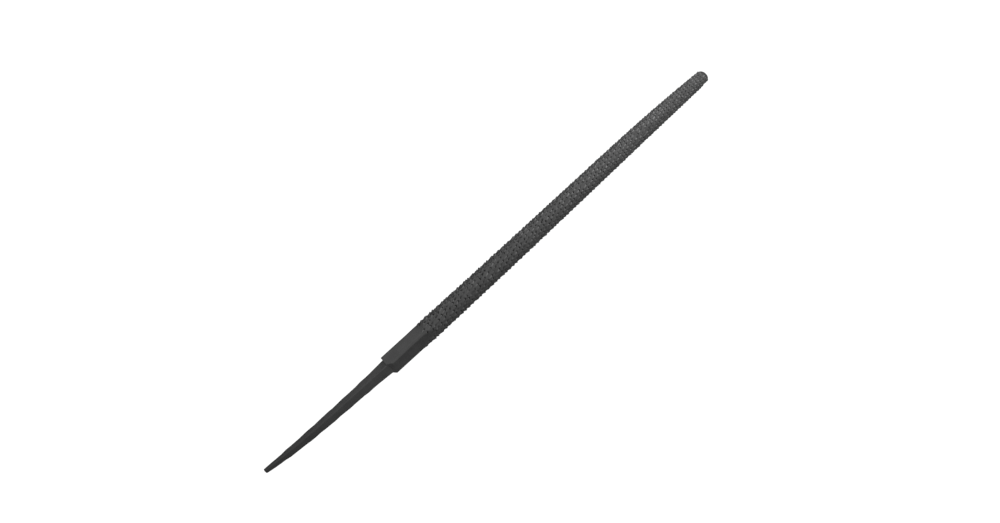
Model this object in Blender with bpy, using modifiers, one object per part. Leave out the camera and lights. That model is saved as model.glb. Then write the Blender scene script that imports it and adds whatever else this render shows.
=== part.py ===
"""Round rasp: one forged steel bar with a tang, a squared heel and a round body of punched teeth.

X runs along the tool from the shoulder, at zero, to the point. Y and Z cross it, and the heel's four
corners lie close to them. At the end the origin is put on the tool's axis where the tang meets the
shoulder, which is where a handle holds it.
"""

import math
import random

import bmesh
import bpy
from mathutils import Vector

# Lengths along the tool, in metres
TANG_LENGTH = 0.0753
HEEL_LENGTH = 0.0245
TOOTHED_LENGTH = 0.1762
POINT_LENGTH = 0.0400
ROOT_LENGTH = 0.0030

# Tang, a four-sided taper measured over its corners
TANG_WIDTH = 0.00656
TANG_STRAIGHT_TAPER = 0.0022
TANG_END_TAPER = 0.0020
TANG_END_POWER = 5
TANG_FLARE = 0.0011
TANG_FLARE_LENGTH = 0.0098
TANG_ARRIS = 0.00025
TANG_END_ROUND = 0.0004
TANG_LEAN = 0.0015
TANG_CURL = 0.00175
TANG_CURL_POWER = 4
TANG_TURN = math.radians(-8)
TANG_STATIONS = 14

# Heel, a round bar forged to a square on four sides
HEEL_DIAMETER = 0.0104
HEEL_CHAMFER = 0.0003
HEEL_ACROSS_FLATS = 0.00744
HEEL_FLATS_AT_RUNOUT = 0.0078
HEEL_RUNOUT_LENGTH = 0.0055
HEEL_RUNOUT_STEPS = 6
HEEL_TURN = math.radians(5)
HEEL_SIDES = 64

# Shoulder, square to the axis on one side and cut back by two sloping faces on the other
SHOULDER_REACH = 0.0008
SHOULDER_SPLIT = 0.0010
SLOPE_NORMAL_SHARES = (-0.555, -0.521, 0.648)
SLOPE_START = 0.00218
ROOT_FILLET = 0.0007
ROOT_FILLET_STEPS = 5

# Toothed body, measured on the blank before its teeth are punched
BODY_STRAIGHT_TAPER = 0.0023
BODY_POINT_TAPER = 0.0021
BODY_POINT_POWER = 7
NOSE_RADIUS = 0.0019
NOSE_DROP = 0.0003
NOSE_STEPS = 5

# Teeth, punched one by one along a single right-hand helix
TEETH_PER_TURN = 16.41
PITCH_AT_HEEL = 0.00256
PITCH_AT_POINT = 0.00158
TOOTH_RISE_AT_HEEL = 0.00038
TOOTH_RISE_AT_POINT = 0.00022
PIT_DEPTH_AT_HEEL = 0.00022
PIT_DEPTH_AT_POINT = 0.00012
TOOTH_RAMP_LENGTH = 0.0014
RAKE_SHARE = 0.30
HAND_SHARE = 0.08
PUNCH_SEED = 7

# Bow of the axis across the tool
HEEL_BOW = 0.00067
HEEL_BOW_LENGTH = 0.095
POINT_BOW = 0.00092
POINT_BOW_LENGTH = 0.055

# Working values
SHARP_EDGE = math.radians(30)
SHARP_TOOTH_EDGE = math.radians(8)
OVERRUN = 0.004
WELD = 0.00001

TOOTHED_END = HEEL_LENGTH + TOOTHED_LENGTH
POINT_START = TOOTHED_END - POINT_LENGTH
NOSE_START = TOOTHED_END - NOSE_RADIUS
RIDGE_COLUMNS = round(2 * TEETH_PER_TURN)

# Colour, roughness and metallic value of each region
FINISHES = {
    "tang": ((0.050, 0.050, 0.051), 0.56, 0.85),
    "heel": ((0.056, 0.056, 0.057), 0.48, 0.85),
    "toothed_body": ((0.072, 0.072, 0.073), 0.52, 0.88),
    "toothed_point": ((0.098, 0.098, 0.099), 0.50, 0.88),
}


def clear_scene():
    """Remove whatever the scene holds."""
    for item in list(bpy.data.objects):
        bpy.data.objects.remove(item, do_unlink=True)


def new_collection(name):
    """A collection of that name in the scene."""
    group = bpy.data.collections.new(name)
    bpy.context.scene.collection.children.link(group)
    return group


def axis_offset(x):
    """How far the tool's centre lies off the X axis, along Y, at a place along it."""
    heel_share = max(0, 1 - x / HEEL_BOW_LENGTH)
    point_share = max(0, 1 - (TOOTHED_END - x) / POINT_BOW_LENGTH)
    return HEEL_BOW * heel_share**2 - POINT_BOW * point_share**2


def bow(mesh):
    """Move a straight mesh onto the tool's slightly bowed axis, which runs on straight in the tang."""
    for vertex in mesh.vertices:
        vertex.co.y += axis_offset(max(0, vertex.co.x))


def mesh_object(name, shape, group):
    """An object made from a bmesh, which is freed."""
    mesh = bpy.data.meshes.new(name)
    shape.to_mesh(mesh)
    shape.free()
    item = bpy.data.objects.new(name, mesh)
    group.objects.link(item)
    return item


def apply_modifiers(item):
    """Work an object's modifiers into its mesh."""
    scene_state = bpy.context.evaluated_depsgraph_get()
    item.data = bpy.data.meshes.new_from_object(item.evaluated_get(scene_state))
    item.modifiers.clear()


def hide_cutter(item):
    """Show a cutter as wire and keep it out of renders."""
    item.hide_render = True
    item.display_type = "WIRE"


def boolean(item, other, operation):
    """Add an exact Boolean with another object."""
    modifier = item.modifiers.new(other.name, "BOOLEAN")
    modifier.operation = operation
    modifier.solver = "EXACT"
    modifier.object = other


def turned(name, profile, sides, group):
    """Turn a profile of (radius, place along X) points about the X axis.

    The profile runs from the far end to the near end, and starts and ends on the axis.
    """
    shape = bmesh.new()
    points = [shape.verts.new((radius, 0, along)) for radius, along in profile]
    for start, end in zip(points, points[1:]):
        shape.edges.new((start, end))
    item = mesh_object(name, shape, group)
    screw = item.modifiers.new("turn", "SCREW")
    screw.axis = "Z"
    screw.steps = sides
    screw.render_steps = sides
    screw.use_merge_vertices = True
    screw.merge_threshold = WELD
    apply_modifiers(item)
    for vertex in item.data.vertices:
        across, up, along = vertex.co
        vertex.co = (along, across, up)
    return item


def turn_about_x(mesh, angle):
    """Turn a mesh about the X axis."""
    sine = math.sin(angle)
    cosine = math.cos(angle)
    for vertex in mesh.vertices:
        across = vertex.co.y
        up = vertex.co.z
        vertex.co.y = across * cosine - up * sine
        vertex.co.z = across * sine + up * cosine


def loft(name, sections, group):
    """Wrap a grid through rings of points and cap both ends."""
    around = len(sections[0])
    along = len(sections) - 1
    shape = bmesh.new()
    bmesh.ops.create_grid(shape, x_segments=around, y_segments=along, size=1)
    shape.verts.ensure_lookup_table()
    for index, vertex in enumerate(shape.verts):
        row, column = divmod(index, around + 1)
        vertex.co = sections[row][column % around]
    bmesh.ops.remove_doubles(shape, verts=shape.verts, dist=WELD)
    bmesh.ops.holes_fill(shape, edges=shape.edges, sides=0)
    bmesh.ops.recalc_face_normals(shape, faces=shape.faces)
    return mesh_object(name, shape, group)


def tang_width(x):
    """Width of the tang over its corners at a place behind the shoulder."""
    behind = min(TANG_LENGTH, max(0, -x))
    share = behind / TANG_LENGTH
    width = TANG_WIDTH - TANG_STRAIGHT_TAPER * share - TANG_END_TAPER * share**TANG_END_POWER
    width += TANG_FLARE * math.exp(-behind / TANG_FLARE_LENGTH)
    return width


def root_fillet(x):
    """How far the fillet stands out from the tang's upper corner at a place behind the shoulder."""
    into_fillet = min(ROOT_FILLET, max(0, ROOT_FILLET + x))
    return ROOT_FILLET - math.sqrt(ROOT_FILLET**2 - into_fillet**2)


def tang_section(x, inset=0, fillet=0):
    """The tang's section at a place behind the shoulder: a square with its corners taken off."""
    share = max(0, -x) / TANG_LENGTH
    centre = Vector((x, TANG_LEAN * share + TANG_CURL * share**TANG_CURL_POWER, 0))
    points = []
    for corner in range(4):
        reach = tang_width(x) / 2 - inset + (0 if corner else fillet)
        angle = TANG_TURN + corner * math.pi / 2
        outward = Vector((0, math.cos(angle), math.sin(angle)))
        sideways = Vector((0, -math.sin(angle), math.cos(angle)))
        points.append(centre + outward * reach - sideways * TANG_ARRIS)
        points.append(centre + outward * reach + sideways * TANG_ARRIS)
    return points


def tang(group):
    """The tang from its root to its blunt end."""
    reach = TANG_LENGTH - ROOT_LENGTH - TANG_END_ROUND
    sections = []
    for station in range(TANG_STATIONS + 1):
        x = -ROOT_LENGTH - reach * station / TANG_STATIONS
        sections.append(tang_section(x))
    sections.append(tang_section(-TANG_LENGTH, inset=TANG_END_ROUND))
    item = loft("tang", sections, group)
    bow(item.data)
    return item


def tang_root(group):
    """The stretch of tang that runs into the shoulder, with its fillet."""
    sections = [tang_section(-ROOT_LENGTH)]
    for step in range(ROOT_FILLET_STEPS + 1):
        angle = step / ROOT_FILLET_STEPS * math.pi / 2
        x = -ROOT_FILLET * (1 - math.sin(angle))
        sections.append(tang_section(x, fillet=root_fillet(x)))
    sections.append([point + Vector((SHOULDER_REACH, 0, 0)) for point in tang_section(0)])
    item = loft("tang_root", sections, group)
    hide_cutter(item)
    return item


def heel_bar(group):
    """The round bar of the heel, chamfered where it meets the shoulder."""
    radius = HEEL_DIAMETER / 2
    profile = [
        (0, HEEL_LENGTH),
        (radius, HEEL_LENGTH),
        (radius, HEEL_CHAMFER),
        (radius - HEEL_CHAMFER, 0),
        (radius - HEEL_CHAMFER, -SHOULDER_REACH),
        (0, -SHOULDER_REACH),
    ]
    return turned("heel", profile, HEEL_SIDES, group)


def heel_square(group):
    """The square that the heel is forged to, whose sides sweep out to nothing at the teeth."""
    runout_start = HEEL_LENGTH - HEEL_RUNOUT_LENGTH
    corner_gain = HEEL_DIAMETER + HEEL_CHAMFER - HEEL_FLATS_AT_RUNOUT
    across = [(HEEL_ACROSS_FLATS, -OVERRUN), (HEEL_FLATS_AT_RUNOUT, runout_start)]
    for step in range(1, HEEL_RUNOUT_STEPS + 1):
        share = step / HEEL_RUNOUT_STEPS
        width = HEEL_FLATS_AT_RUNOUT + corner_gain * share**2
        across.append((width, runout_start + HEEL_RUNOUT_LENGTH * share))
    across.append((HEEL_DIAMETER + 2 * HEEL_CHAMFER, HEEL_LENGTH + OVERRUN))
    profile = [(width / math.sqrt(2), x) for width, x in reversed(across)]
    profile = [(0, HEEL_LENGTH + OVERRUN)] + profile + [(0, -OVERRUN)]
    item = turned("heel_square", profile, 4, group)
    turn_about_x(item.data, HEEL_TURN)
    hide_cutter(item)
    return item


def step_cutter(group):
    """Clears the side of the shoulder that is square to the axis."""
    size = HEEL_DIAMETER + 2 * OVERRUN
    shape = bmesh.new()
    bmesh.ops.create_cube(shape, size=size)
    bmesh.ops.translate(shape, verts=shape.verts, vec=(-size / 2, size / 2 - SHOULDER_SPLIT, 0))
    item = mesh_object("shoulder_step", shape, group)
    hide_cutter(item)
    return item


def slope_cutter(name, side, group):
    """Clears one sloping face of the shoulder, on the side of +Z or of -Z."""
    size = 2 * HEEL_DIAMETER
    share_x, share_y, share_z = SLOPE_NORMAL_SHARES
    normal = Vector((share_x, share_y, side * share_z)).normalized()
    shape = bmesh.new()
    bmesh.ops.create_cube(shape, size=size)
    turn = Vector((0, 0, 1)).rotation_difference(normal)
    bmesh.ops.translate(shape, verts=shape.verts, vec=(0, 0, size / 2 + SLOPE_START))
    bmesh.ops.rotate(shape, verts=shape.verts, cent=(0, 0, 0), matrix=turn.to_matrix())
    item = mesh_object(name, shape, group)
    hide_cutter(item)
    return item


def heel(group, cutters):
    """The heel with its four flats, its shoulder and the root of the tang."""
    item = heel_bar(group)
    boolean(item, step_cutter(cutters), "DIFFERENCE")
    boolean(item, slope_cutter("slope_front", 1, cutters), "DIFFERENCE")
    boolean(item, slope_cutter("slope_back", -1, cutters), "DIFFERENCE")
    boolean(item, tang_root(cutters), "UNION")
    boolean(item, heel_square(cutters), "INTERSECT")
    apply_modifiers(item)
    bow(item.data)
    return item


def toothed_share(x):
    """Share of the toothed length at a place along it, from 0 at the heel to 1 at the end."""
    return min(1, max(0, (x - HEEL_LENGTH) / TOOTHED_LENGTH))


def body_radius(x):
    """Radius of the blank, before its teeth are punched, at a place along the toothed length."""
    share = toothed_share(x)
    taper = BODY_STRAIGHT_TAPER * share + BODY_POINT_TAPER * share**BODY_POINT_POWER
    return (HEEL_DIAMETER - taper) / 2


def between_ends(at_heel, at_point, x):
    """A size that changes evenly along the toothed length."""
    return at_heel + (at_point - at_heel) * toothed_share(x)


def tooth_ramp(x):
    """Share of its full size that a tooth has: none at the heel and at the nose, all of it between."""
    from_heel = (x - HEEL_LENGTH) / TOOTH_RAMP_LENGTH
    from_nose = (NOSE_START - x) / TOOTH_RAMP_LENGTH
    return min(1, max(0, from_heel)) * min(1, max(0, from_nose))


def helix_place(turns):
    """Place along X after some turns of the helix, whose pitch closes up evenly towards the point."""
    closing = (PITCH_AT_HEEL - PITCH_AT_POINT) / TOOTHED_LENGTH
    return HEEL_LENGTH + PITCH_AT_HEEL / closing * (1 - math.exp(-closing * turns))


def helix_turns(x):
    """Turns of the helix from the heel to a place along X."""
    closing = (PITCH_AT_HEEL - PITCH_AT_POINT) / TOOTHED_LENGTH
    return -math.log(1 - closing * (x - HEEL_LENGTH) / PITCH_AT_HEEL) / closing


def hand_shifts(step):
    """How far the hand set one tooth off its place along, around and in height, each from -1 to 1."""
    hand = random.Random(PUNCH_SEED + step)
    return [hand.uniform(-1, 1) for _ in range(3)]


def lattice_point(step, between):
    """A point of the toothed surface, counted in half teeth along the helix.

    Even steps on the line of teeth are tooth tips, which stand above the blank and lean towards the
    point. All other points are the floor that the punch leaves between the teeth.
    """
    turns = step / (2 * TEETH_PER_TURN)
    angle = turns * 2 * math.pi
    x = helix_place(turns + between / 2)
    if not between and step % 2 == 0:
        along_shift, around_shift, rise_shift = hand_shifts(step)
        pitch = helix_place(turns + 1) - x
        rise = between_ends(TOOTH_RISE_AT_HEEL, TOOTH_RISE_AT_POINT, x)
        radius = body_radius(x) + rise * tooth_ramp(x) * (1 + HAND_SHARE * rise_shift)
        angle += around_shift * HAND_SHARE * math.pi / TEETH_PER_TURN
        x += pitch * (RAKE_SHARE + HAND_SHARE * along_shift)
    else:
        depth = between_ends(PIT_DEPTH_AT_HEEL, PIT_DEPTH_AT_POINT, x)
        radius = body_radius(x) - depth * tooth_ramp(x)
    return Vector((x, axis_offset(x) + radius * math.cos(angle), radius * math.sin(angle)))


def toothed_skin(start, end):
    """The toothed surface between two places along X, as an open bmesh that runs past both.

    A grid is wound along the helix. The end of each row meets the start of the next row of its
    kind, so that the rows join into one strip.
    """
    first_row = math.floor(helix_turns(start - OVERRUN))
    rows = math.ceil(helix_turns(end + OVERRUN / 2)) - first_row
    first_step = first_row * RIDGE_COLUMNS
    shape = bmesh.new()
    bmesh.ops.create_grid(shape, x_segments=RIDGE_COLUMNS, y_segments=2 * rows + 1, size=1)
    shape.verts.ensure_lookup_table()
    tips = set()
    for index, vertex in enumerate(shape.verts):
        row, column = divmod(index, RIDGE_COLUMNS + 1)
        turn, between = divmod(row, 2)
        step = first_step + turn * RIDGE_COLUMNS + column
        vertex.co = lattice_point(step, between)
        if not between and step % 2 == 0:
            tips.add(vertex)
    for face in list(shape.faces):
        corners = list(face.verts)
        tip = next(index for index, corner in enumerate(corners) if corner in tips)
        bmesh.utils.face_split(face, corners[tip], corners[(tip + 2) % 4])
    bmesh.ops.remove_doubles(shape, verts=shape.verts, dist=WELD)
    return shape


def cut_square(shape, x, side):
    """Cut an open skin square to the axis, drop what lies beyond and return the cut edges."""
    everything = list(shape.verts) + list(shape.edges) + list(shape.faces)
    bmesh.ops.bisect_plane(
        shape, geom=everything, dist=WELD, plane_co=(x, 0, 0), plane_no=(side, 0, 0), clear_outer=True
    )
    rim = [edge for edge in shape.edges if all(abs(vertex.co.x - x) < WELD for vertex in edge.verts)]
    for edge in rim:
        for vertex in edge.verts:
            vertex.co.x = x
    return [edge for edge in rim if edge.is_boundary]


def nose(shape, rim):
    """Draw the cut rim of the point in over the rounded nose, ring by ring.

    The nose drops a little to one side, so its round is longer on the other.
    """
    radius = body_radius(NOSE_START)
    last_scale = 1
    last_centre = axis_offset(NOSE_START)
    for step in range(1, NOSE_STEPS + 1):
        angle = step / NOSE_STEPS * math.pi / 2
        x = NOSE_START + NOSE_RADIUS * math.sin(angle)
        scale = (radius - NOSE_RADIUS * (1 - math.cos(angle))) / radius
        grown = bmesh.ops.extrude_edge_only(shape, edges=rim)["geom"]
        verts = [item for item in grown if isinstance(item, bmesh.types.BMVert)]
        rim = [item for item in grown if isinstance(item, bmesh.types.BMEdge)]
        centre = axis_offset(x) - NOSE_DROP * math.sin(angle) ** 2
        for vertex in verts:
            vertex.co.y = centre + (vertex.co.y - last_centre) * scale / last_scale
            vertex.co.z *= scale / last_scale
            vertex.co.x = x
        rim = [edge for edge in rim if edge.is_boundary]
        last_scale = scale
        last_centre = centre
    return rim


def toothed(name, start, end, has_nose, group):
    """One stretch of the toothed length, with the nose where it ends the tool."""
    shape = toothed_skin(start, end)
    cut_square(shape, start, -1)
    rim = cut_square(shape, end, 1)
    if has_nose:
        nose(shape, rim)
    open_edges = [edge for edge in shape.edges if edge.is_boundary]
    bmesh.ops.holes_fill(shape, edges=open_edges, sides=0)
    bmesh.ops.recalc_face_normals(shape, faces=shape.faces)
    return mesh_object(name, shape, group)


def dress(item):
    """Give a region its steel and its smooth shading."""
    colour, roughness, metallic = FINISHES[item.name]
    steel = bpy.data.materials.new(item.name + "_steel")
    steel.use_nodes = True
    shader = steel.node_tree.nodes["Principled BSDF"]
    shader.inputs["Base Color"].default_value = (*colour, 1)
    shader.inputs["Roughness"].default_value = roughness
    shader.inputs["Metallic"].default_value = metallic
    item.data.materials.clear()
    item.data.materials.append(steel)
    item.data.shade_smooth()
    is_toothed = item.name.startswith("toothed")
    item.data.set_sharp_from_angle(angle=SHARP_TOOTH_EDGE if is_toothed else SHARP_EDGE)


def hold_at_shoulder(items):
    """Carry every region on one empty, which puts the origin on the axis at the shoulder."""
    holder = bpy.data.objects.new("rasp_axis", None)
    items[0].users_collection[0].objects.link(holder)
    holder.location = (0, -axis_offset(0), 0)
    for item in items:
        item.parent = holder


def main():
    """Build the rasp."""
    clear_scene()
    rasp = new_collection("round_rasp")
    cutters = new_collection("cutters")
    items = [
        tang(rasp),
        heel(rasp, cutters),
        toothed("toothed_body", HEEL_LENGTH, POINT_START, False, rasp),
        toothed("toothed_point", POINT_START, NOSE_START, True, rasp),
    ]
    for item in items:
        dress(item)
    hold_at_shoulder(items)
    for item in items:
        print(item.name, len(item.data.polygons))


main()
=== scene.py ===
"""A round rasp lying on a pale studio floor: one dark forging with a tang, a squared heel and punched teeth.

X runs along the tool from the shoulder to the point, Y is the side that the tang's end curves to, and Z is
up. The origin is on the tool's axis where the tang meets the shoulder. Lengths are in metres.
"""
import logging
import math
from collections.abc import Callable
from dataclasses import dataclass, replace
from enum import Enum, IntEnum

import bmesh
import bpy
import numpy as np
from mathutils import Matrix, Vector


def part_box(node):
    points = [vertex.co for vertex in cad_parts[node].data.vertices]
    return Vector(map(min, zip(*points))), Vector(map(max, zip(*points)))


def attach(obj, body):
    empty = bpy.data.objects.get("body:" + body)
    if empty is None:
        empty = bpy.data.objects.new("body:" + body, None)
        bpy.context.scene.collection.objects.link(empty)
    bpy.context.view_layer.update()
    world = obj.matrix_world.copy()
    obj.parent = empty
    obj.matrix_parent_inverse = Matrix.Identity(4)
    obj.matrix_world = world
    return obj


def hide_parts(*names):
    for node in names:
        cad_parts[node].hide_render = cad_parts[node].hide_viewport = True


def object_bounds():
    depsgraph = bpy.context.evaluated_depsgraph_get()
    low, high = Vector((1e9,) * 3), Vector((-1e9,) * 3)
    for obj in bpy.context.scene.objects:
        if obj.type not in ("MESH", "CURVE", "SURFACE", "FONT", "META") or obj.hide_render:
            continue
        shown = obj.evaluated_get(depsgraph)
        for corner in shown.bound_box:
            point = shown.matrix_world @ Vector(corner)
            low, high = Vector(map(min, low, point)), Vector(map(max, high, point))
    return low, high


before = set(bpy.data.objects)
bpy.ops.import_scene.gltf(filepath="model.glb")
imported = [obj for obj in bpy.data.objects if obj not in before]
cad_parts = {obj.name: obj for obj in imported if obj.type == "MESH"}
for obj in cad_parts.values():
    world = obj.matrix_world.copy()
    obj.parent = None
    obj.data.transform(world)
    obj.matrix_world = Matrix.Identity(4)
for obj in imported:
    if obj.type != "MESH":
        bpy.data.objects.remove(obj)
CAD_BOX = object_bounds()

LOG = logging.getLogger("round_rasp")
ROOT_BODY = "root"
# Points closer than WELD become one, and a point within NEARBY of a plane counts as lying on it.
WELD = 1e-6
NEARBY = 1e-5
MM_PER_METRE = 1000
# The sides of the squared stretch and of the tang, counted round the bar from Y towards Z.
FLATS = range(4)

# One value, or an array with a value for each of many places.
Amount = np.ndarray | float
EdgeTest = Callable[[bmesh.types.BMEdge], bool]
Range = tuple[float, float]
Socket = bpy.types.NodeSocket


class Cut(Enum):
    """What a Boolean does with the piece that it is given."""

    TAKE_AWAY = "DIFFERENCE"
    ADD = "UNION"


class Stretch(Enum):
    """The stretches of the tool, by the name of the solid that each one stands for."""

    TANG = "tang"
    HEEL = "heel"
    BODY = "toothed_body"
    POINT = "toothed_point"


class Tone(Enum):
    """The attributes that say where a piece is painted bright, for wear and for the glints that its crests
    catch, and where its pits are darkened with painted shade.
    """

    RUBBED_GLINT = "rubbed_glint"
    PIT_SHADE = "pit_shade"


class Slip(IntEnum):
    """What the hand sets a little differently at each tooth, by its column among the draws."""

    PLACE = 0
    SIDE = 1
    RISE = 2
    WIDTH = 3
    SKEW = 4
    WEAR = 5


def drop_selection() -> None:
    """Leave edit mode and deselect every object."""
    if bpy.context.object and bpy.context.object.mode != "OBJECT":
        bpy.ops.object.mode_set(mode="OBJECT")
    bpy.ops.object.select_all(action="DESELECT")


def take_up(piece: bpy.types.Object) -> None:
    """Make one object the only selected and the active one.

    Args:
        piece: The object to work on.
    """
    drop_selection()
    piece.select_set(True)
    bpy.context.view_layer.objects.active = piece


def named(name: str) -> bpy.types.Object:
    """Name the primitive that was just added, and its mesh.

    Args:
        name: The name.

    Returns:
        The new object.
    """
    piece = bpy.context.object
    piece.name = piece.data.name = name
    return piece


def open_up(piece: bpy.types.Object) -> None:
    """Take up an object and select all of it in edit mode.

    Args:
        piece: The object to work on.
    """
    take_up(piece)
    bpy.ops.object.mode_set(mode="EDIT")
    bpy.ops.mesh.select_all(action="SELECT")


def turn_outwards() -> None:
    """Turn every face of the object in edit mode outwards, and leave edit mode."""
    bpy.ops.mesh.select_all(action="SELECT")
    bpy.ops.mesh.normals_make_consistent(inside=False)
    bpy.ops.object.mode_set(mode="OBJECT")


def trim(x: float, side: int) -> None:
    """Cut the object in edit mode square to X, and drop what lies beyond.

    Args:
        x: Where the cut is.
        side: 1 to drop what lies ahead of the cut, and -1 to drop what lies behind it.
    """
    bpy.ops.mesh.select_all(action="SELECT")
    bpy.ops.mesh.bisect(plane_co=(x, 0, 0), plane_no=(side, 0, 0), clear_outer=True, threshold=WELD)


def apply_modifier(piece: bpy.types.Object, kind: str, **settings: object) -> None:
    """Add a modifier to a piece and work it into the mesh.

    Args:
        piece: The object to change.
        kind: Blender's name for the modifier's type.
        **settings: Values for the modifier's own properties.
    """
    take_up(piece)
    bpy.ops.object.modifier_add(type=kind)
    modifier = piece.modifiers[-1]
    for name, value in settings.items():
        setattr(modifier, name, value)
    bpy.ops.object.modifier_apply(modifier=modifier.name)


def select_edges(piece: bpy.types.Object, wanted: EdgeTest) -> None:
    """Select edges in edit mode by a test of each one, and stay in edit mode.

    Args:
        piece: The object whose edges are selected.
        wanted: Says of an edge whether it is selected.
    """
    take_up(piece)
    bpy.ops.object.mode_set(mode="EDIT")
    bpy.ops.mesh.select_mode(type="EDGE")
    shape = bmesh.from_edit_mesh(piece.data)
    for item in (*shape.verts, *shape.edges, *shape.faces):
        item.select_set(False)
    for chosen in [edge for edge in shape.edges if wanted(edge)]:
        chosen.select_set(True)
    bmesh.update_edit_mesh(piece.data)


def round_edges(
    piece: bpy.types.Object, wanted: EdgeTest, width: float, steps: int, clamp: bool = False
) -> None:
    """Round the edges of a piece that pass a test.

    Args:
        piece: The object to change.
        wanted: Says of an edge whether it is rounded.
        width: How far the rounding reaches from each edge.
        steps: How many faces the rounding has.
        clamp: Whether roundings stop where they would overlap.
    """
    select_edges(piece, wanted)
    bpy.ops.mesh.bevel(
        offset=width, offset_type="OFFSET", segments=steps, affect="EDGES", clamp_overlap=clamp
    )
    bpy.ops.object.mode_set(mode="OBJECT")


def cap(piece: bpy.types.Object) -> None:
    """Close each open rim of a piece with one flat face.

    Args:
        piece: The object to close.
    """
    select_edges(piece, lambda edge: edge.is_boundary)
    bpy.ops.mesh.edge_face_add()
    turn_outwards()


def cut_with(piece: bpy.types.Object, tool: bpy.types.Object, cut: Cut) -> None:
    """Cut or join a piece with another object, which is used up.

    Args:
        piece: The object to change.
        tool: The object that cuts or is added.
        cut: What to do with it.
    """
    apply_modifier(piece, "BOOLEAN", operation=cut.value, solver="EXACT", object=tool)
    bpy.data.objects.remove(tool, do_unlink=True)


def opaque(grey: float) -> tuple[float, ...]:
    """An opaque grey, as a colour socket takes it."""
    return (grey,) * 3 + (1,)


@dataclass(frozen=True)
class NodeBench:
    """A node tree, and the few steps by which a finish is put together in it."""

    tree: bpy.types.NodeTree

    def feed(self, node: bpy.types.Node, inputs: dict[str | int, object]) -> None:
        """Fill a node's inputs.

        Args:
            node: The node.
            inputs: A socket to link or a value to set, by the input's name or number.
        """
        for key, value in inputs.items():
            if isinstance(value, Socket):
                self.tree.links.new(value, node.inputs[key])
            else:
                node.inputs[key].default_value = value

    def add(
        self, kind: str, inputs: dict[str | int, object] | None = None, **settings: object
    ) -> bpy.types.Node:
        """Add a node.

        Args:
            kind: Blender's name for the node's type.
            inputs: What its inputs are filled with.
            **settings: Values for the node's own properties.

        Returns:
            The node.
        """
        node = self.tree.nodes.new(kind)
        for name, value in settings.items():
            setattr(node, name, value)
        self.feed(node, inputs or {})
        return node

    def remap(self, value: Socket, old: Range, new: Range, **settings: object) -> Socket:
        """Carry a value over from an old range to a new one."""
        inputs = {"Value": value, "From Min": old[0], "From Max": old[1], "To Min": new[0], "To Max": new[1]}
        return self.add("ShaderNodeMapRange", inputs, **settings).outputs["Result"]

    def blend(self, share: Socket, first: object, last: object) -> Socket:
        """Mix two colours, the first at a share of 0 and the last at a share of 1."""
        inputs = {"Factor": share, "A": first, "B": last}
        return self.add("ShaderNodeMix", inputs, data_type="RGBA").outputs["Result"]

    def noise(self, place: Socket, size: float, detail: float, roughness: float = 0.5) -> Socket:
        """Noise in spots of one size, with finer layers that each weaken by the roughness."""
        inputs = {"Vector": place, "Scale": 1 / size, "Detail": detail, "Roughness": roughness}
        return self.add("ShaderNodeTexNoise", inputs).outputs["Fac"]

    def tone(self, tone: Tone) -> Socket:
        """One of the piece's own tones."""
        return self.add("ShaderNodeAttribute", attribute_name=tone.value).outputs["Fac"]

    def bump(self, height: Socket, depth: float, over: Socket | None = None) -> Socket:
        """Roughen the surface by a height, over the normal of another roughness or none."""
        under = {} if over is None else {"Normal": over}
        inputs = {"Strength": 1.0, "Distance": depth, "Height": height, **under}
        return self.add("ShaderNodeBump", inputs).outputs["Normal"]


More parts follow.
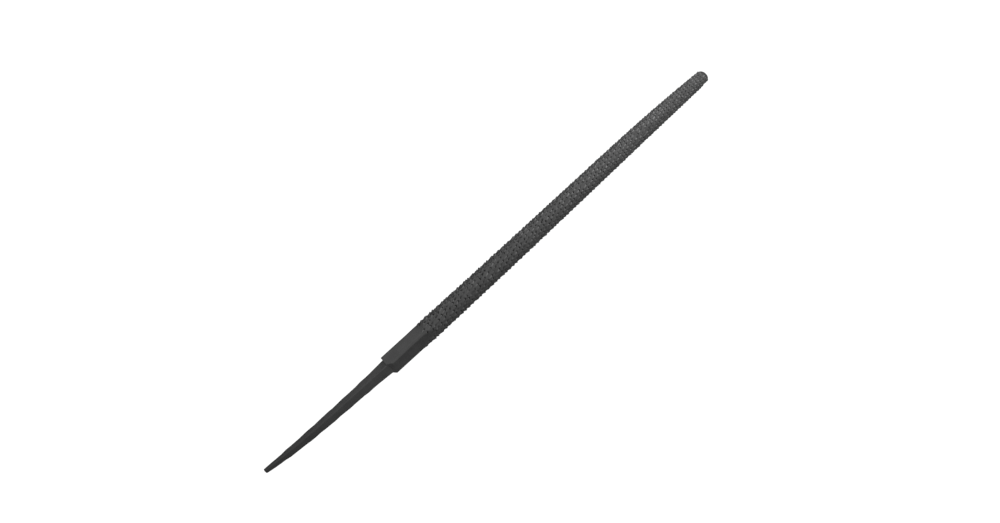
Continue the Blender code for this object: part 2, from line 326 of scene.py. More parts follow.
@dataclass(frozen=True)
class Steel:
    """A blackened steel finish: grey levels, gloss, how it is mottled and grained, and how its crests are
    painted bright for wear and glints and its pits darkened with painted shade.
    """

    slot: str
    from_x: float
    to_x: float
    grey: float
    grey_at_point: float
    # The crests' grey, painted bright partly for wear and partly as painted glints.
    rubbed_glint_grey: float
    roughness: float
    mottle_size: float
    # The crests' painted grey of wear and glints at the point.
    rubbed_glint_at_point: float = 0.10
    # The grey that the painted shade in the pits darkens to.
    pit_shade_grey: float = 0.008
    metallic: float = 0.80
    mottle_detail: float = 6
    mottle_roughness: float = 0.62
    mottle_range: Range = (0.25, 0.75)
    mottle_shades: Range = (0.80, 1.20)
    gloss_range: Range = (0.3, 0.7)
    gloss_spread: float = 0.07
    grain_size: float = 0.0004
    grain_detail: float = 4
    grain_depth: float = 0.00001
    dent_size: float = 0.003
    dent_detail: float = 1
    dent_depth: float = 0.00005
    film_gloss: float = 0.25
    rim_grey: float = 0.25

    def material(self) -> bpy.types.Material:
        """Build the finish's node material.

        Returns:
            The material, which reads Object coordinates and the piece's own tones of painted brightness and
            painted shade.
        """
        steel = bpy.data.materials.new(self.slot)
        steel.use_nodes = True
        bench = NodeBench(steel.node_tree)
        bench.tree.nodes.clear()

        place = bench.add("ShaderNodeTexCoord").outputs["Object"]
        along = bench.add("ShaderNodeSeparateXYZ", {"Vector": place}).outputs["X"]
        toward_point = bench.remap(along, (self.from_x, self.to_x), (0, 1), interpolation_type="SMOOTHSTEP")
        plain = bench.blend(toward_point, opaque(self.grey), opaque(self.grey_at_point))
        mottle = bench.noise(place, self.mottle_size, self.mottle_detail, self.mottle_roughness)
        uneven = bench.remap(mottle, self.mottle_range, self.mottle_shades)
        mottled = bench.add("ShaderNodeVectorMath", {"Vector": plain, "Scale": uneven}, operation="SCALE")
        # Painted shade: the pits are darkened towards a near-black grey where shade falls in them.
        darkened = bench.blend(bench.tone(Tone.PIT_SHADE), mottled.outputs["Vector"], opaque(self.pit_shade_grey))
        # Painted highlight and wear: the crests are brightened, partly for real wear of the teeth and partly
        # for the glints that they catch.
        bright = bench.blend(toward_point, opaque(self.rubbed_glint_grey), opaque(self.rubbed_glint_at_point))
        brightened = bench.blend(bench.tone(Tone.RUBBED_GLINT), darkened, bright)
        spread = self.gloss_spread
        gloss = bench.remap(mottle, self.gloss_range, (self.roughness - spread, self.roughness + spread))
        grained = bench.bump(bench.noise(place, self.grain_size, self.grain_detail), self.grain_depth)
        dented = bench.bump(bench.noise(place, self.dent_size, self.dent_detail), self.dent_depth, grained)

        shader = bench.add("ShaderNodeBsdfPrincipled", {
            "Metallic": self.metallic,
            "Specular IOR Level": self.film_gloss,
            "Specular Tint": opaque(self.rim_grey),
            "Base Color": brightened,
            "Roughness": gloss,
            "Normal": dented,
        })
        bench.add("ShaderNodeOutputMaterial", {"Surface": shader.outputs["BSDF"]})
        return steel


def hand_in(piece: bpy.types.Object, stretch: Stretch, finish: Steel, sharp: float) -> None:
    """Dress a finished piece and let it stand for its solid.

    Args:
        piece: The finished object.
        stretch: The stretch that it shows.
        finish: Its steel.
        sharp: The angle, in degrees, past which an edge is crisp.
    """
    take_up(piece)
    bpy.ops.object.shade_smooth_by_angle(angle=math.radians(sharp))
    piece.data.materials.clear()
    piece.data.materials.append(finish.material())
    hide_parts(stretch.value)
    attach(piece, ROOT_BODY)
    LOG.info("%s: %d faces", piece.name, len(piece.data.polygons))


@dataclass(frozen=True)
class Blank:
    """The bar that the tool is forged from: its radius, its bow, its squared stretch and its nose."""

    heel_end: float
    toothed_end: float
    diameter: float = 0.0104
    straight_taper: float = 0.0023
    point_taper: float = 0.0021
    point_power: float = 7
    heel_bow: float = 0.00067
    heel_bow_length: float = 0.095
    point_bow: float = 0.00092
    point_bow_length: float = 0.055
    nose_length: float = 0.0026
    nose_depth: float = 0.0028
    nose_lift: float = 0.00017
    nose_waist: float = 0.0001
    neck_start: float = 0.0055
    neck_length: float = 0.0050
    half_across_flats: float = 0.0039
    runout_length: float = 0.0055
    runout_gains: tuple[float, ...] = (0.0016, 0.0010, 0.0010, 0.0010)
    bar_end: float = 0.0177
    halves_at_bar_end: tuple[float, ...] = (0.00444, 0.00371, 0.00407, 0.00416)
    runout_starts: tuple[float, ...] = (0.0212, 0.0226, 0.0200, 0.0190)
    least_facing: float = 0.1
    arris_ease: float = 0.00012
    turn: float = math.radians(5)

    @property
    def nose_start(self) -> float:
        """Where the rounding of the nose begins along X."""
        return self.toothed_end - self.nose_length

    def nose_share(self, x: Amount) -> Amount:
        """Share of the nose's length, from 0 where its rounding begins to 1 at the tool's end."""
        return np.clip((x - self.nose_start) / self.nose_length, 0, 1)

    def neck(self, x: Amount) -> Amount:
        """Share that is 1 at the middle of the short neck behind the nose and 0 at both of its ends."""
        start = self.toothed_end - self.neck_start
        return np.sin(math.pi * np.clip((x - start) / self.neck_length, 0, 1))

    def axis_offset(self, x: Amount) -> Amount:
        """How far the axis lies off the X axis, along Y.

        Args:
            x: A place along the tool.

        Returns:
            The offset, which is zero at the shoulder and all along the tang.
        """
        ahead = np.maximum(x, 0)
        heel_share = np.maximum(0, 1 - ahead / self.heel_bow_length)
        point_share = np.maximum(0, 1 - (self.toothed_end - ahead) / self.point_bow_length)
        lift = self.nose_lift * self.neck(x)
        return self.heel_bow * (heel_share**2 - 1) - self.point_bow * point_share**2 + lift

    def toothed_share(self, x: Amount) -> Amount:
        """Share of the toothed length, from 0 at the heel to 1 at the tool's end."""
        return np.clip((x - self.heel_end) / (self.toothed_end - self.heel_end), 0, 1)

    def radius(self, x: Amount) -> Amount:
        """Radius of the round bar, drawn in over the nose.

        Args:
            x: A place along the tool.

        Returns:
            The radius there.
        """
        share = self.toothed_share(np.minimum(x, self.nose_start))
        taper = self.straight_taper * share + self.point_taper * share**self.point_power
        drawn_in = self.nose_depth * (1 - np.sqrt(1 - self.nose_share(x) ** 2))
        return (self.diameter - taper) / 2 - drawn_in - self.nose_waist * self.neck(x)

    def flat_direction(self, flat: int) -> float:
        """Angle about the axis that one of the heel's four flats faces."""
        return self.turn + (flat + 0.5) * math.pi / 2

    def to_flat(self, flat: int, x: Amount) -> Amount:
        """Distance from the axis to one of the heel's four flats.

        Args:
            flat: Which flat, counted round the bar from Y towards Z.
            x: A place along the tool.

        Returns:
            The distance, which outgrows the round bar where the flat runs out.
        """
        run = np.clip(x / self.bar_end, 0, 1)
        out = np.maximum(0, (x - self.runout_starts[flat]) / self.runout_length)
        grown = (self.halves_at_bar_end[flat] - self.half_across_flats) * run
        return self.half_across_flats + grown + self.runout_gains[flat] * out**2

    def surface(self, x: np.ndarray, angle: np.ndarray) -> np.ndarray:
        """Distance from the axis to the forged surface, before any tooth is punched.

        Args:
            x: Places along the tool.
            angle: Angles about the axis, from Y towards Z.

        Returns:
            The distances, with the arrises between flat and round eased.
        """
        facing = [np.maximum(np.cos(angle - self.flat_direction(flat)), self.least_facing) for flat in FLATS]
        flat = np.min([self.to_flat(flat, x) / facing[flat] for flat in FLATS], axis=0)
        bar, soft = self.radius(x), self.arris_ease
        gap = np.clip(0.5 + (bar - flat) / (2 * soft), 0, 1)
        return flat * gap + bar * (1 - gap) - soft * gap * (1 - gap)


@dataclass(frozen=True)
class Hand:
    """The hand that punches the teeth, and how unevenly: as shares of a size, or in metres where it says so.

    first_slip and settling_length are in metres, and the wanders are in turns of the helix. The draws for
    WEAR and SKEW also say where the first teeth begin and which of them are missed.
    """

    seed: int = 7
    spare_turns: int = 20
    place_slip: float = 0.30
    side_slip: float = 0.12
    rise_slip: float = 0.35
    width_slip: float = 0.15
    lean_slip: float = 0.5
    skew_slip: float = 0.2
    first_slip: float = 0.0004
    first_looseness: float = 0.6
    settling_length: float = 0.006
    missed_before: float = 0.6
    missed_above: float = 0.75
    wanders: tuple[float, float] = (0.09, 0.10)
    wander_rates: tuple[float, float] = (2.6, 4.43)
    wander_phase: float = 1

    def wander(self, turns: np.ndarray) -> np.ndarray:
        """How far the hand let the helix wander, in turns.

        Args:
            turns: Turns of the helix from the heel.

        Returns:
            The shift at each of them.
        """
        way = 2 * math.pi * turns
        slow, quick = self.wanders
        slow_rate, quick_rate = self.wander_rates
        return slow * np.sin(slow_rate * way) + quick * np.sin(quick_rate * way + self.wander_phase)

    def settled(self, tooth_x: np.ndarray, first_x: np.ndarray) -> np.ndarray:
        """Share of each tooth's way from the first marks to where the hand is steady."""
        return np.clip((tooth_x - first_x) / self.settling_length, 0, 1)

    def sizes(self, tooth_x: np.ndarray, first_x: np.ndarray, slips: np.ndarray) -> np.ndarray:
        """How fully each tooth is raised.

        Args:
            tooth_x: Where each tooth stands along X.
            first_x: Where the teeth begin on its side.
            slips: The hand's draws for it.

        Returns:
            A share for each tooth, which is 0 where none stands.
        """
        settled = self.settled(tooth_x, first_x)
        loose = 1 + self.first_looseness * (1 - settled)
        begun = tooth_x > first_x + self.first_slip * slips[..., Slip.WEAR]
        missed = (settled < self.missed_before) & (slips[..., Slip.SKEW] > self.missed_above)
        return np.where(begun & ~missed, 1 - self.rise_slip * loose * np.abs(slips[..., Slip.RISE]), 0)


@dataclass(frozen=True)
class WearAndPaintedLight:
    """How the crests are painted bright, partly for wear and partly for the glints they catch, and the pits
    darkened with painted shade.
    """

    # The side, turned from Y towards Z, on which the painted glints and shade are strongest: the side that
    # faces the light.
    lit_side: float = math.radians(48)
    one_sided: float = 0.48
    one_sided_loss: float = 0.18
    bright_power: float = 1.4
    bright_power_loss: float = 0.9
    crest_height: float = 1.4
    crest_fall: float = 1.6
    clear_at_heel: float = 0.78
    clear_gain: float = 0.5
    # How dark the painted shade in the pits is, how much it varies, and how much darker it is among the first
    # teeth.
    dark: float = 1.1
    dark_slip: float = 0.6
    first_dark_gain: float = 0.5

    def used(self, turns: np.ndarray, toward_point: np.ndarray) -> np.ndarray:
        """How strongly each tooth is painted bright and shaded: most on the side of the tool that faces the
        light, and more evenly towards the point.
        """
        one_sided = self.one_sided - self.one_sided_loss * toward_point
        return 1 - one_sided + one_sided * np.cos(2 * math.pi * turns - self.lit_side)

    def worn(self, used: np.ndarray, slip: np.ndarray, toward_point: np.ndarray) -> np.ndarray:
        """How bright each tooth is painted, for its wear and the glint that it catches; towards the point
        more of them are.
        """
        return used * ((1 + slip) / 2) ** (self.bright_power - self.bright_power_loss * toward_point)

    def crest(self, spread: np.ndarray) -> np.ndarray:
        """How much of the painted brightness of wear and glint reaches a place, by its distance from a
        tooth's middle in half widths.
        """
        return np.clip(self.crest_height - self.crest_fall * spread, 0, 1)

    def deep(
        self, used: np.ndarray, slip: np.ndarray, toward_point: np.ndarray, settled: np.ndarray
    ) -> np.ndarray:
        """How dark the painted shade in each tooth's pit is; among the first teeth it is darker."""
        clear = np.minimum(1, self.clear_at_heel + self.clear_gain * toward_point)
        return used * clear * (self.dark + self.dark_slip * slip) * (1 + self.first_dark_gain * (1 - settled))


@dataclass(frozen=True)
class PunchedTeeth:
    """The teeth, punched one by one along a right-hand helix, and the skin of steel that holds them.

    The rows run across a tooth from one lap of the helix to the next. Each row's shares give its place in the
    lap, how high, how deep and how wide the tooth is there, and how bright it is painted for wear and glints.
    """

    blank: Blank
    hand: Hand = Hand()
    wear: WearAndPaintedLight = WearAndPaintedLight()
    teeth_per_turn: float = 16.41
    pitch_at_heel: float = 0.00256
    pitch_at_point: float = 0.00158
    rise_at_heel: float = 0.00057
    rise_at_point: float = 0.00034
    pit_at_heel: float = 0.00044
    pit_at_point: float = 0.00042
    nose_share: float = 0.86
    nose_rings: int = 7
    fade_length: float = 0.0008
    columns_per_half_tooth: int = 4
    overrun: int = 2
    row_shares: tuple[float, ...] = (0, 0.15, 0.30, 0.41, 0.48, 0.54, 0.61, 0.69, 0.82)
    rise_shares: tuple[float, ...] = (0.06, 0.34, 0.66, 0.88, 0.98, 1, 0.42, 0, 0)
    pit_shares: tuple[float, ...] = (0, 0, 0, 0, 0, 0, 0.30, 1, 0.75)
    width_shares: tuple[float, ...] = (0.26, 0.28, 0.31, 0.32, 0.31, 0.29, 0.31, 0.36, 0.30)
    # How brightly each row is painted, for the crest's wear and its painted glint.
    rubbed_glint_shares: tuple[float, ...] = (0.15, 0.45, 0.70, 0.85, 1, 1, 0.50, 0, 0)
    crest_row: int = 5
    free_rows: float = 3
    bow: float = -0.09
    lean: float = -0.50
    skew: float = -0.20
    width_at_point: float = 0.74
    swell: float = 0.00003
    swell_start: float = 0.003
    swell_end: float = 0.002
    first_marks_mm: tuple[float, ...] = (-1.8, -2.4, -1.6, 0.8, -6.4, -4.8, -3.2, -2.4)
    sharp: float = 42

    @property
    def half_steps(self) -> int:
        """Half teeth that the skin counts in one turn."""
        return round(2 * self.teeth_per_turn)

    @property
    def closing(self) -> float:
        """How fast the pitch closes up along the tool."""
        length = self.blank.toothed_end - self.blank.heel_end
        return (self.pitch_at_heel - self.pitch_at_point) / length

    @property
    def last_x(self) -> float:
        """Where the last teeth have faded out, on the rounding of the nose."""
        return self.blank.nose_start + self.nose_share * self.blank.nose_length

    def place(self, turns: Amount) -> Amount:
        """Place along X after some turns of the helix from the heel."""
        return self.blank.heel_end + self.pitch_at_heel / self.closing * (1 - np.exp(-self.closing * turns))

    def turns(self, x: float) -> float:
        """Turns of the helix from the heel to a place along X, below zero on the heel."""
        return -math.log(1 - self.closing * (x - self.blank.heel_end) / self.pitch_at_heel) / self.closing

    def between(self, at_heel: float, at_point: float, x: np.ndarray) -> np.ndarray:
        """A size that changes evenly along the toothed length."""
        return at_heel + (at_point - at_heel) * self.blank.toothed_share(x)

    def first_teeth(self, angle: np.ndarray) -> np.ndarray:
        """Where the teeth begin, which is sooner on one side of the heel than on the other.

        Args:
            angle: Angles about the axis.

        Returns:
            Places along X.
        """
        marks = np.array(self.first_marks_mm) / MM_PER_METRE
        knots = np.arange(len(marks)) * 2 * math.pi / len(marks)
        return self.blank.heel_end + np.interp(angle, knots, marks, period=2 * math.pi)

    def slips(self, tooth: np.ndarray) -> np.ndarray:
        """How the hand set each tooth, the same wherever the tooth is modelled.

        Args:
            tooth: Numbers of teeth, counted from the heel.

        Returns:
            For each tooth a draw from -1 to 1 for every kind of slip.
        """
        spare = self.hand.spare_turns * round(self.teeth_per_turn)
        count = 2 * spare + round(self.teeth_per_turn * self.turns(self.blank.toothed_end))
        draws = np.random.default_rng(self.hand.seed).uniform(-1, 1, (count, len(Slip)))
        return draws[tooth + spare]

    def skin(self, start: float, end: float) -> tuple[np.ndarray, dict[Tone, np.ndarray]]:
        """The wound skin of teeth between two places, running past both.

        Args:
            start: The near place along X.
            end: The far place along X.

        Returns:
            A grid of points, row by row along the tool, and the tones at each of them.
        """
        blank, hand, wear = self.blank, self.hand, self.wear
        halves = self.half_steps
        first = math.floor(self.turns(start)) - self.overrun
        last = math.ceil(self.turns(end)) + self.overrun
        per_turn = len(self.row_shares)
        row = np.arange((last - first) * per_turn + 1)
        column = np.arange(halves * self.columns_per_half_tooth + 1)

        def profile(shares: tuple[float, ...]) -> np.ndarray:
            """One of the shares, for every row."""
            return np.array(shares)[row % per_turn][:, None]

        share = profile(self.row_shares)
        rise = profile(self.rise_shares)
        pit = profile(self.pit_shares)
        step = (row // per_turn + first)[:, None] * halves + column[None, :] / self.columns_per_half_tooth
        tooth = np.round(step / 2).astype(int)
        across = step / 2 - tooth
        lap = halves / (2 * self.teeth_per_turn)
        turns = step / (2 * self.teeth_per_turn)

        slips = self.slips(tooth)
        tooth_turns = tooth / self.teeth_per_turn
        tooth_x = self.place(tooth_turns + self.row_shares[self.crest_row])
        first_x = self.first_teeth(2 * math.pi * tooth_turns)
        toward_point = blank.toothed_share(tooth_x)
        size = hand.sizes(tooth_x, first_x, slips) * np.clip((self.last_x - tooth_x) / self.fade_length, 0, 1)

        narrowed = 1 + (self.width_at_point - 1) * toward_point
        width = profile(self.width_shares) * (1 + hand.width_slip * slips[..., Slip.WIDTH]) * narrowed
        lean = self.lean * (1 + hand.lean_slip * slips[..., Slip.WIDTH])
        ridge = hand.side_slip * slips[..., Slip.SIDE] + lean * (share - 0.5)
        spread = np.abs(across - ridge) / width
        mound = np.maximum(0, 1 - spread**2)

        inside = np.minimum(1, self.free_rows * np.minimum(share, 1 - share))
        bowed_back = self.bow * np.minimum(1, spread**2) * (rise + pit > 0)
        skewed = (self.skew + hand.skew_slip * slips[..., Slip.SKEW]) * across * inside
        at_border = np.cos(math.pi * np.clip(across, -0.5, 0.5))
        moved = hand.place_slip * slips[..., Slip.PLACE] * inside * at_border
        set_off = np.where(size > 0, bowed_back + skewed + moved, 0)
        wander = hand.wander(turns) * (1 - share) + hand.wander(turns + lap) * share
        x = np.maximum.accumulate(self.place(turns + (share + set_off) * lap + wander), axis=0)
        angle = 2 * math.pi * (turns + share * (lap - 1))

        up = self.between(self.rise_at_heel, self.rise_at_point, x) * rise * mound * size
        down = self.between(self.pit_at_heel, self.pit_at_point, x) * pit * mound * size
        swollen = self.swell * np.clip((x - first_x) / self.swell_start, 0, 1)
        swollen = swollen * np.clip((self.last_x - x) / self.swell_end, 0, 1)
        radius = blank.surface(x, angle) + swollen + up - down
        points = np.stack([x, blank.axis_offset(x) + radius * np.cos(angle), radius * np.sin(angle)], -1)

        # Painted glints and pit shade are laid on most strongly on the side that faces the light.
        used = wear.used(tooth_turns, toward_point)
        worn = wear.worn(used, slips[..., Slip.WEAR], toward_point)
        deep = wear.deep(used, slips[..., Slip.RISE], toward_point, hand.settled(tooth_x, first_x))
        tones = {
            # Crests painted bright, partly for wear and partly as painted glints.
            Tone.RUBBED_GLINT: profile(self.rubbed_glint_shares) * wear.crest(spread) * size * worn,
            # Pits darkened with painted shade.
            Tone.PIT_SHADE: np.minimum(1, pit * mound**2 * size * deep),
        }
        return points, tones

    def wind(self, name: str, start: float, end: float) -> bpy.types.Object:
        """Wind a grid of the teeth round the bar and cut it square at both ends.

        Args:
            name: The name of the new object.
            start: Where it begins along X.
            end: Where it ends along X.

        Returns:
            The open skin.
        """
        points, tones = self.skin(start, end)
        rows, columns = points.shape[:2]
        drop_selection()
        bpy.ops.mesh.primitive_grid_add(x_subdivisions=columns - 1, y_subdivisions=rows - 1, size=1)
        skin = named(name)
        skin.data.vertices.foreach_set("co", points.reshape(-1))
        for tone, values in tones.items():
            layer = skin.data.attributes.new(tone.value, "FLOAT", "POINT")
            layer.data.foreach_set("value", values.reshape(-1))
        open_up(skin)
        bpy.ops.mesh.remove_doubles(threshold=WELD)
        trim(start, -1)
        trim(end, 1)
        turn_outwards()
        return skin


@dataclass(frozen=True)
class PunchedBody:
    """The straight stretch of the toothed length."""

    teeth: PunchedTeeth
    finish: Steel
    start: float
    end: float

    def build(self) -> bpy.types.Object:
        """Model and dress the stretch.

        Returns:
            The finished piece.
        """
        piece = self.teeth.wind("punched_body", self.start, self.end)
        cap(piece)
        hand_in(piece, Stretch.BODY, self.finish, self.teeth.sharp)
        return piece


@dataclass(frozen=True)
class PunchedPoint:
    """The drawn-in end of the toothed length, with its blunt nose."""

    teeth: PunchedTeeth
    finish: Steel
    start: float

    def round_nose(self, piece: bpy.types.Object) -> None:
        """Draw the skin's far rim in, ring by ring, to the tool's rounded end.

        Args:
            piece: The open skin.
        """
        blank, rings = self.teeth.blank, self.teeth.nose_rings
        last_x = self.teeth.last_x
        rim = last_x - NEARBY
        first_angle = math.asin(self.teeth.nose_share)
        select_edges(piece, lambda edge: edge.is_boundary and all(v.co.x > rim for v in edge.verts))
        for ring in range(1, rings + 1):
            angle = first_angle + ring / rings * (math.pi / 2 - first_angle)
            x = blank.nose_start + blank.nose_length * math.sin(angle)
            bend = float(blank.axis_offset(x) - blank.axis_offset(last_x))
            factor = float(blank.radius(x) / blank.radius(last_x))
            bpy.ops.mesh.extrude_region_move(TRANSFORM_OT_translate={"value": (x - last_x, bend, 0)})
            centre = (x, float(blank.axis_offset(x)), 0)
            bpy.ops.transform.resize(value=(1, factor, factor), center_override=centre)
            last_x = x
        bpy.ops.object.mode_set(mode="OBJECT")

    def build(self) -> bpy.types.Object:
        """Model and dress the stretch.

        Returns:
            The finished piece.
        """
        piece = self.teeth.wind("punched_point", self.start, self.teeth.last_x)
        self.round_nose(piece)
        cap(piece)
        hand_in(piece, Stretch.POINT, self.finish, self.teeth.sharp)
        return piece


@dataclass(frozen=True)
class TaperedTang:
    """The bare four-sided tang, drawn out by hammer to a blunt end that curls to one side."""

    finish: Steel
    end: float
    root: float
    width: float = 0.00656
    straight_taper: float = 0.0022
    end_taper: float = 0.0020
    end_power: float = 5
    flare: float = 0.0011
    flare_length: float = 0.0098
    lean: float = 0.0015
    curl: float = 0.00175
    curl_power: float = 4
    turn: float = math.radians(-8)
    arris: float = 0.00034
    arris_steps: int = 4
    arris_allowance: float = 0.3
    along: float = 0.7
    end_round: float = 0.00035
    end_steps: int = 3
    stations: int = 26
    reach: float = 0.0008
    hammer_depth: float = 0.00008
    hammer_length: float = 0.0115
    hammer_second: float = 0.6
    hammer_rate: float = 1.7
    hammer_phase: float = 1
    sharp: float = 35

    def centre(self, x: float) -> float:
        """Y of the tang's centre at a place behind the shoulder."""
        share = max(0.0, -x) / -self.end
        return self.lean * share + self.curl * share**self.curl_power

    def half_width(self, x: float) -> float:
        """Half the tang's width over its corners, with the faint waves that the hammer leaves.

        Args:
            x: A place behind the shoulder.

        Returns:
            The half width.
        """
        behind = min(-self.end, max(0.0, -x))
        share = behind / -self.end
        width = self.width - self.straight_taper * share - self.end_taper * share**self.end_power
        width += self.flare * math.exp(-behind / self.flare_length)
        settled = min(1.0, behind / self.hammer_length)
        wave = math.sin(behind / self.hammer_length * 2 * math.pi)
        second = math.sin(behind * self.hammer_rate / self.hammer_length * 2 * math.pi + self.hammer_phase)
        return width / 2 + self.hammer_depth * settled * (wave + self.hammer_second * second)

    def corner_radius(self, x: float) -> float:
        """Distance from the tang's centre to its corners, before they are rounded."""
        return self.half_width(x) + self.arris * self.arris_allowance

    def draw_out(self, name: str) -> bpy.types.Object:
        """Draw the tang out of a square, station by station, from inside the shoulder to its end.

        Args:
            name: The name of the new object.

        Returns:
            The closed tang, its corners rounded.
        """
        start, end = self.reach, self.end
        last_x, last_radius = start, self.corner_radius(start)
        drop_selection()
        bpy.ops.mesh.primitive_circle_add(vertices=len(FLATS), radius=last_radius, fill_type="NGON")
        piece = named(name)
        upright = Matrix.Rotation(self.turn, 4, "X") @ Matrix.Rotation(-math.pi / 2, 4, "Y")
        piece.data.transform(Matrix.Translation((start, self.centre(start), 0)) @ upright)
        open_up(piece)
        for station in range(self.stations + 1):
            x = max(end, (end - start) * (station / self.stations))
            radius = self.corner_radius(x)
            factor = radius / last_radius
            shift = (x - last_x, self.centre(x) - self.centre(last_x), 0)
            bpy.ops.mesh.extrude_region_move(TRANSFORM_OT_translate={"value": shift})
            bpy.ops.transform.resize(value=(1, factor, factor), center_override=(x, self.centre(x), 0))
            last_x, last_radius = x, radius
        bpy.ops.object.mode_set(mode="OBJECT")

        def runs_along(edge: bmesh.types.BMEdge) -> bool:
            """Whether an edge runs along the tang."""
            way = edge.verts[1].co - edge.verts[0].co
            return abs(way.x) > self.along * way.length

        def at_end(edge: bmesh.types.BMEdge) -> bool:
            """Whether an edge is one of the blunt end's rim."""
            return all(abs(vertex.co.x - end) < WELD for vertex in edge.verts) and len(edge.link_faces) == 2

        round_edges(piece, runs_along, self.arris, self.arris_steps)
        round_edges(piece, at_end, self.end_round, self.end_steps)
        open_up(piece)
        turn_outwards()
        return piece

    def part(self, name: str, keep_root: bool) -> bpy.types.Object:
        """One side of the flat plane that divides the tang from the heel's root.

        Args:
            name: The name of the new object.
            keep_root: Whether the root is kept, and not the tang behind it.

        Returns:
            The closed part.
        """
        piece = self.draw_out(name)
        open_up(piece)
        trim(self.root, -1 if keep_root else 1)
        bpy.ops.object.mode_set(mode="OBJECT")
        cap(piece)
        return piece

    def build(self) -> bpy.types.Object:
        """Model and dress the tang.

        Returns:
            The finished piece.
        """
        piece = self.part("tapered_tang", keep_root=False)
        hand_in(piece, Stretch.TANG, self.finish, self.sharp)
        return piece


@dataclass(frozen=True)
class SquaredHeel:
    """The smooth heel, squared on four sides, with the shoulder that the handle stops against."""

    blank: Blank
    teeth: PunchedTeeth
    tang: TaperedTang
    finish: Steel
    reach: float = 0.0008
    split: float = 0.0010
    slope: tuple[float, float, float] = (-0.555, -0.521, 0.648)
    slope_start: float = 0.00218
    skin_start: float = 0.0180
    eased: float = 0.00022
    eased_steps: int = 4
    edge_round: float = 0.00014
    edge_steps: int = 3
    edge_reach: float = 0.00352
    root_share: float = 0.6
    least_bend: float = math.radians(25)
    sharp: float = 30
    flat_weight: int = 100

    def section(self, x: float, offset: float) -> list[Vector]:
        """The squared bar's section: a square with the round bar left standing at its four corners.

        Args:
            x: Where the section's size is read.
            offset: How far its centre is shifted along Y.

        Returns:
            Eight points, two on each flat, in their order round the X axis.
        """
        radius = float(self.blank.radius(x))
        points = []
        for flat in FLATS:
            half_turn = math.acos(min(1, float(self.blank.to_flat(flat, x)) / radius))
            for side in (-1, 1):
                angle = self.blank.flat_direction(flat) + side * half_turn
                points.append(Vector((x, offset + radius * math.cos(angle), radius * math.sin(angle))))
        return sorted(points, key=lambda point: math.atan2(point.z, point.y))

    def bar(self) -> bpy.types.Object:
        """The plain squared bar, from behind the shoulder to where its flats start to run out.

        Returns:
            The closed bar.
        """
        bar_end = self.blank.bar_end
        near = self.section(0.0, 0.0)
        for point in near:
            point.x = -self.reach
        far = self.section(bar_end, float(self.blank.axis_offset(bar_end)))
        drop_selection()
        bpy.ops.mesh.primitive_cylinder_add(vertices=len(near), radius=1, depth=1, end_fill_type="NGON")
        piece = named("squared_heel")
        below = [vertex for vertex in piece.data.vertices if vertex.co.z <= 0]
        above = [vertex for vertex in piece.data.vertices if vertex.co.z > 0]
        for vertices, points in ((below, near), (above, far)):
            vertices.sort(key=lambda vertex: math.atan2(vertex.co.y, vertex.co.x))
            for vertex, point in zip(vertices, points):
                vertex.co = point
        open_up(piece)
        turn_outwards()

        def runs_along(edge: bmesh.types.BMEdge) -> bool:
            """Whether an edge runs along the bar."""
            return abs(edge.verts[0].co.x - edge.verts[1].co.x) > bar_end / 2

        round_edges(piece, runs_along, self.eased, self.eased_steps)
        return piece

    def block(self, centre: Vector, size: float, turned: Matrix) -> bpy.types.Object:
        """A block to cut the shoulder with.

        Args:
            centre: Its centre, before it is turned about the origin.
            size: The length of its sides.
            turned: How it is turned.

        Returns:
            The block.
        """
        drop_selection()
        bpy.ops.mesh.primitive_cube_add(size=size)
        piece = named("shoulder_block")
        piece.data.transform(turned @ Matrix.Translation(centre))
        return piece

    def shape_shoulder(self, piece: bpy.types.Object) -> None:
        """Cut the shoulder, add the tang's root and ease the edges where they meet.

        Args:
            piece: The bar.
        """
        size = 2 * self.blank.diameter
        step = Vector((-size / 2, size / 2 - self.split, 0))
        cut_with(piece, self.block(step, size, Matrix.Identity(4)), Cut.TAKE_AWAY)
        lifted = Vector((0, 0, size / 2 + self.slope_start))
        for side in (1, -1):
            normal = Vector((self.slope[0], self.slope[1], side * self.slope[2])).normalized()
            turned = Vector((0, 0, 1)).rotation_difference(normal).to_matrix().to_4x4()
            cut_with(piece, self.block(lifted, size, turned), Cut.TAKE_AWAY)
        cut_with(piece, self.tang.part("tang_root", keep_root=True), Cut.ADD)
        behind = self.tang.root * self.root_share

        def at_shoulder(edge: bmesh.types.BMEdge) -> bool:
            """Whether an edge is one that the step, the slopes and the root meet in."""
            near = all(behind < vertex.co.x < self.edge_reach for vertex in edge.verts)
            return near and len(edge.link_faces) == 2 and edge.calc_face_angle() > self.least_bend

        round_edges(piece, at_shoulder, self.edge_round, self.edge_steps, clamp=True)

    def open_far_end(self, piece: bpy.types.Object) -> None:
        """Take off the bar's far end face, where the skin of teeth is joined on.

        Args:
            piece: The bar.
        """
        end = self.blank.bar_end
        take_up(piece)
        bpy.ops.object.mode_set(mode="EDIT")
        shape = bmesh.from_edit_mesh(piece.data)
        for face in shape.faces:
            face.select_set(all(abs(vertex.co.x - end) < NEARBY for vertex in face.verts))
        bmesh.update_edit_mesh(piece.data)
        bpy.ops.mesh.delete(type="ONLY_FACE")
        bpy.ops.object.mode_set(mode="OBJECT")

    def join_runout(self, piece: bpy.types.Object) -> None:
        """Join the bar to the skin in which its flats run out and the first stray teeth stand.

        Args:
            piece: The bar, open at its far end.
        """
        runout = self.teeth.wind("heel_runout", self.skin_start, self.blank.heel_end)
        take_up(piece)
        runout.select_set(True)
        bpy.ops.object.join()
        rim = self.skin_start + NEARBY
        select_edges(piece, lambda edge: edge.is_boundary and all(v.co.x < rim for v in edge.verts))
        bpy.ops.mesh.bridge_edge_loops()
        bpy.ops.object.mode_set(mode="OBJECT")

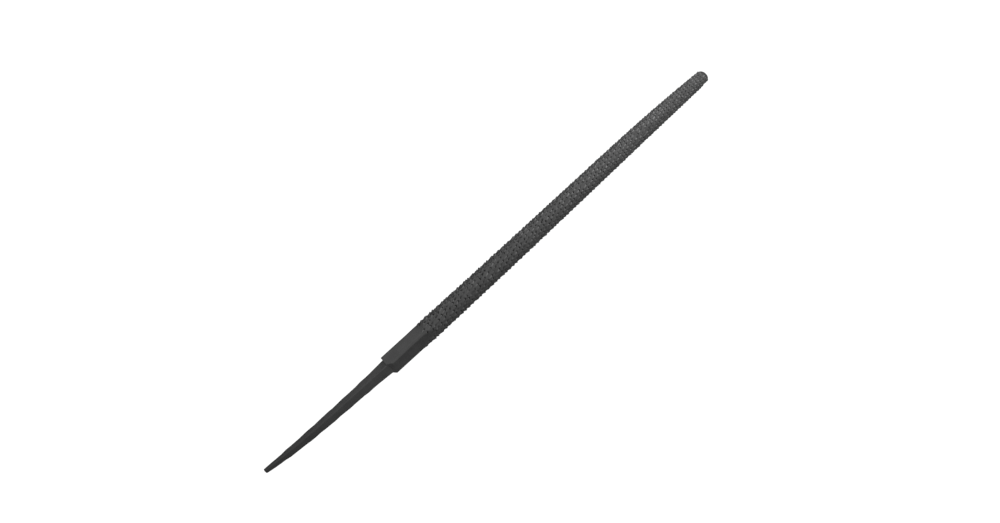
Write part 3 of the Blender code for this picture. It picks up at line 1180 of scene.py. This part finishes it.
    def build(self) -> bpy.types.Object:
        """Model and dress the heel.

        Returns:
            The finished piece.
        """
        piece = self.bar()
        self.shape_shoulder(piece)
        for tone in Tone:
            piece.data.attributes.new(tone.value, "FLOAT", "POINT")
        self.open_far_end(piece)
        self.join_runout(piece)
        cap(piece)
        hand_in(piece, Stretch.HEEL, self.finish, self.sharp)
        apply_modifier(piece, "WEIGHTED_NORMAL", mode="FACE_AREA", keep_sharp=True, weight=self.flat_weight)
        return piece


@dataclass(frozen=True)
class Studio:
    """The pale floor, the soft lights and the camera."""

    floor_z: float
    view_width: float = 0.465
    look_x: float = 0.07118
    look_y: float = 0.00004
    across: tuple[float, float] = (0.7308, -0.6826)
    lens: float = 110
    sensor: float = 36
    nearest: float = 0.01
    farthest: float = 50
    floor_size: float = 6
    floor_grey: float = 0.04
    floor_roughness: float = 0.9
    floor_gloss: float = 0.1
    floor_glow: float = 1.0
    sky_even: float = 2.2
    sky_lean: float = 1.2
    light_height: float = math.radians(20)
    box_distance: float = 1.2
    box_size: float = 0.6
    box_watts: float = 3

    def floor(self) -> None:
        """Lay the floor under the tool's lowest teeth."""
        drop_selection()
        bpy.ops.mesh.primitive_plane_add(size=self.floor_size, location=(0, 0, self.floor_z))
        floor = named("studio_floor")
        bpy.ops.object.transform_apply(location=True, rotation=True, scale=True)
        paint = bpy.data.materials.new("pale_floor")
        paint.use_nodes = True
        bench = NodeBench(paint.node_tree)
        bench.feed(bench.tree.nodes["Principled BSDF"], {
            "Base Color": opaque(self.floor_grey),
            "Roughness": self.floor_roughness,
            "Specular IOR Level": self.floor_gloss,
            "Emission Color": opaque(1),
            "Emission Strength": self.floor_glow,
        })
        floor.data.materials.append(paint)

    def softbox(self, place: Vector) -> None:
        """Hang a square softbox that faces the tool.

        Args:
            place: Where it hangs.
        """
        lamp = bpy.data.lights.new("key_softbox", "AREA")
        lamp.shape = "SQUARE"
        lamp.size = self.box_size
        lamp.energy = self.box_watts
        holder = bpy.data.objects.new("key_softbox", lamp)
        bpy.context.scene.collection.objects.link(holder)
        holder.location = place
        aim = Vector((self.look_x, 0, 0)) - place
        holder.rotation_euler = aim.to_track_quat("-Z", "Y").to_euler()

    def light(self) -> None:
        """Set the soft light, which comes from the top of the picture and fades evenly away from there."""
        flat = Vector((-self.across[1], self.across[0], 0)).normalized() * math.cos(self.light_height)
        toward = flat + Vector((0, 0, math.sin(self.light_height)))
        self.softbox(toward * self.box_distance)
        world = bpy.data.worlds.new("studio_air")
        bpy.context.scene.world = world
        world.use_nodes = True
        bench = NodeBench(world.node_tree)
        place = bench.add("ShaderNodeTexCoord").outputs["Generated"]
        lean = bench.add("ShaderNodeVectorMath", {0: place, 1: toward}, operation="DOT_PRODUCT")
        levels = (self.sky_even - self.sky_lean, self.sky_even + self.sky_lean)
        strength = bench.remap(lean.outputs["Value"], (-1, 1), levels)
        bench.feed(bench.tree.nodes["Background"], {"Color": opaque(1), "Strength": strength})

    def camera(self) -> None:
        """Set the camera straight above the tool, turned so that the tool lies as in the photograph."""
        data = bpy.data.cameras.new("photo_camera")
        data.lens = self.lens
        data.sensor_width = self.sensor
        data.clip_start = self.nearest
        data.clip_end = self.farthest
        holder = bpy.data.objects.new("photo_camera", data)
        bpy.context.scene.collection.objects.link(holder)
        right = Vector((*self.across, 0)).normalized()
        back = Vector((0, 0, 1))
        up = back.cross(right)
        turned = Matrix((right, up, back)).transposed().to_4x4()
        height = self.view_width * self.lens / self.sensor
        holder.matrix_world = Matrix.Translation((self.look_x, self.look_y, height)) @ turned
        bpy.context.scene.camera = holder

    def build(self) -> None:
        """Set the floor, lights, camera and plain colour response."""
        self.camera()
        self.floor()
        self.light()
        bpy.context.scene.view_settings.view_transform = "Standard"


def main() -> None:
    """Build the studio and every stretch of the tool."""
    logging.basicConfig(level=logging.INFO, format="%(name)s %(message)s")
    heel_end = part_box(Stretch.HEEL.value)[1].x
    body_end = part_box(Stretch.BODY.value)[1].x
    toothed_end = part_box(Stretch.POINT.value)[1].x
    tang_end, tang_root = (corner.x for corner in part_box(Stretch.TANG.value))
    Studio(floor_z=CAD_BOX[0].z).build()

    tang_steel = Steel(
        slot="tang_steel", from_x=tang_end, to_x=0, grey=0.0215, grey_at_point=0.030, rubbed_glint_grey=0.06,
        roughness=0.72, mottle_size=0.004, grain_depth=0.00002, dent_depth=0.00014,
    )
    heel_steel = Steel(
        slot="heel_steel", from_x=0, to_x=heel_end, grey=0.0278, grey_at_point=0.0278, rubbed_glint_grey=0.10,
        roughness=0.56, mottle_size=0.005, dent_depth=0.00004,
    )
    # The tooth steel's crest greys paint wear and glints, and its pit grey paints the shade in the pits.
    tooth_steel = Steel(
        slot="tooth_steel", from_x=heel_end, to_x=toothed_end, grey=0.028, grey_at_point=0.041,
        rubbed_glint_grey=0.078, rubbed_glint_at_point=0.22, pit_shade_grey=0.010, roughness=0.50, mottle_size=0.003,
        grain_size=0.0003, dent_size=0.0018, dent_depth=0.00026, rim_grey=0.35,
    )
    point_steel = replace(tooth_steel, slot="point_steel")

    blank = Blank(heel_end=heel_end, toothed_end=toothed_end)
    teeth = PunchedTeeth(blank)
    tang = TaperedTang(tang_steel, tang_end, tang_root)
    tang.build()
    SquaredHeel(blank, teeth, tang, heel_steel).build()
    PunchedBody(teeth, tooth_steel, heel_end, body_end).build()
    PunchedPoint(teeth, point_steel, body_end).build()


if __name__ == "__main__":
    main()
